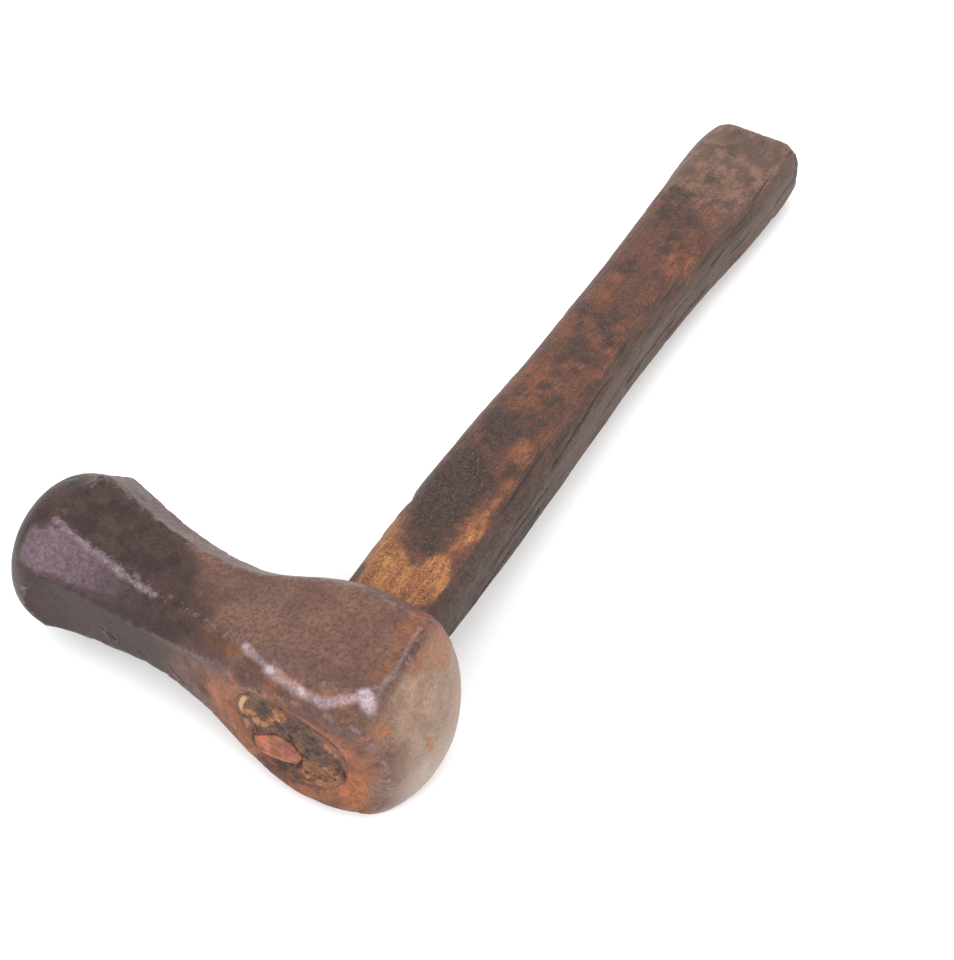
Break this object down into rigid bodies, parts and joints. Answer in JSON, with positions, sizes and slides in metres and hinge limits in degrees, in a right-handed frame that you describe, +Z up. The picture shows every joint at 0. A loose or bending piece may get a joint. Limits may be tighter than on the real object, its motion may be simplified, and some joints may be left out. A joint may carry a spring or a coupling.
{
  "type": "blacksmith hand hammer",
  "caption": "Hand-forged iron hammer head with an octagonal neck flaring to a round face, a domed face at the other end, and a short wooden handle wedged in the eye.",
  "frame": {"origin": "on the flat lower cheek of the head, under the middle of the eye, with the hammer lying on its side", "axes": "+X along the head from the flared striking face to the domed face, +Y along the handle from the eye to the butt, +Z up"},
  "size_m": [0.1387, 0.3148, 0.0536],
  "materials": {
    "forged_iron": "rust-brown patina, satin, brighter worn edges, orange rust round the eye",
    "handle_wood": "oiled and grimy old hardwood with charred patches",
    "wedge_wood": "raw end grain, darkened",
    "wedge_iron": "rusty, matte"
  },
  "bodies": {
    "root": {"hammer_head": "forged_iron", "handle": "handle_wood", "wooden_wedge": "wedge_wood", "steel_wedge": "wedge_iron"}
  },
  "joints": []
}
